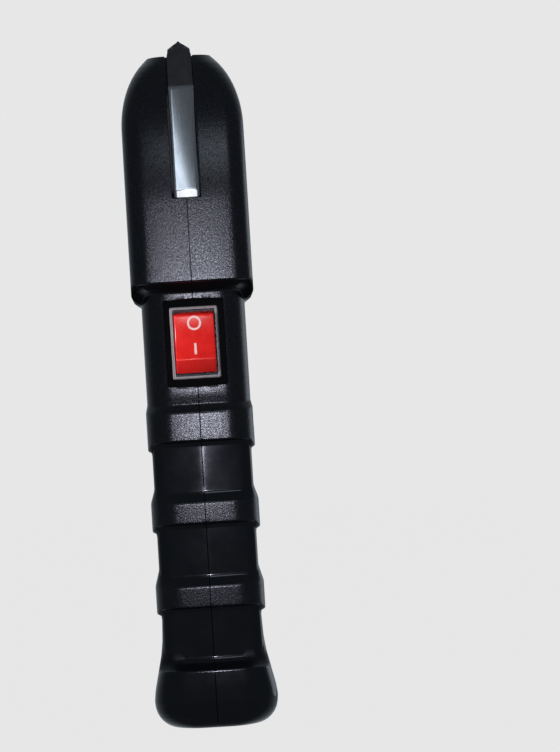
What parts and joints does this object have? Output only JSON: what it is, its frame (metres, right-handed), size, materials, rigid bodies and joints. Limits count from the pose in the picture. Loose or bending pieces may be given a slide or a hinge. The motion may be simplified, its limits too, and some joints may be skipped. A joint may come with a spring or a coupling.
{
  "type": "uncapping knife",
  "caption": "Cordless heated uncapping knife with a ribbed two-shell handle, a rocker switch and a narrow steel blade over the nose.",
  "frame": {"origin": "centre of the pommel base", "axes": "+Z along the handle towards the point of the blade, -Y out of the face with the rocker switch, +X to the right as that face is seen"},
  "size_m": [0.0374, 0.0456, 0.2089],
  "materials": {
    "shell_plastic": "black, spark-textured on the head and ridges, smoother in the grooves",
    "screw_steel": "dull zinc",
    "blade_steel": "polished, with fine lengthwise scratches",
    "block_aluminium": "machined",
    "heater_steel": "satin",
    "phenolic": "brown phenolic",
    "clamp_steel": "satin",
    "thermostat_metal": "satin",
    "switch_plastic": "moulded black with a greyed frame",
    "rocker_plastic": "glossy red",
    "plunger_plastic": "natural acetal",
    "spring_steel": "bright wire",
    "contact_brass": "plain",
    "cell_sleeve": "green shrink sleeve",
    "holder_plastic": "moulded",
    "nickel": "nickel plate",
    "board_resin": "green solder mask",
    "component_body": "moulded epoxy and ferrite",
    "capacitor_sleeve": "blue-black sleeve",
    "jack_plastic": "moulded",
    "red_insulation": "silicone",
    "black_insulation": "silicone",
    "yellow_insulation": "PVC",
    "heater_insulation": "glass braid"
  },
  "bodies": {
    "handle": {"left_shell": "shell_plastic", "right_shell": "shell_plastic", "shell_screws": "screw_steel", "blade": "blade_steel", "heater_block": "block_aluminium", "heater_cartridge": "heater_steel", "blade_holder": "phenolic", "tail_clamp": "clamp_steel", "clamp_screws": "screw_steel", "thermostat": "thermostat_metal", "switch_housing": "switch_plastic", "common_terminal": "contact_brass", "load_terminal": "contact_brass", "battery_cell": "cell_sleeve", "lower_cell_holder": "holder_plastic", "upper_cell_holder": "holder_plastic", "positive_tab": "nickel", "negative_tab": "nickel", "control_board": "board_resin", "board_inductor": "component_body", "board_capacitor": "capacitor_sleeve", "board_transistor": "component_body", "charging_jack": "jack_plastic", "jack_pin": "nickel", "cell_positive_wire": "red_insulation", "cell_negative_wire": "black_insulation", "charging_wire": "yellow_insulation", "switched_wire": "red_insulation", "heater_feed_wire": "heater_insulation", "thermostat_wire": "heater_insulation", "heater_return_wire": "heater_insulation"},
    "rocker": {"rocker": "rocker_plastic", "switch_plunger": "plunger_plastic", "switch_spring": "spring_steel"},
    "contact": {"moving_contact": "contact_brass"}
  },
  "joints": [
    {"name": "rocker_hinge", "type": "hinge", "parent": "handle", "child": "rocker", "pos_m": [0, -0.0158, 0.116], "axis": [1, 0, 0], "range_deg": [0, 24]},
    {"name": "contact_hinge", "type": "hinge", "parent": "handle", "child": "contact", "pos_m": [0, -0.0054, 0.116], "axis": [1, 0, 0], "range_deg": [-14, 0]}
  ],
  "couplings": [
    {"joint": "contact_hinge", "follows": "rocker_hinge", "ratio": -0.58333}
  ]
}
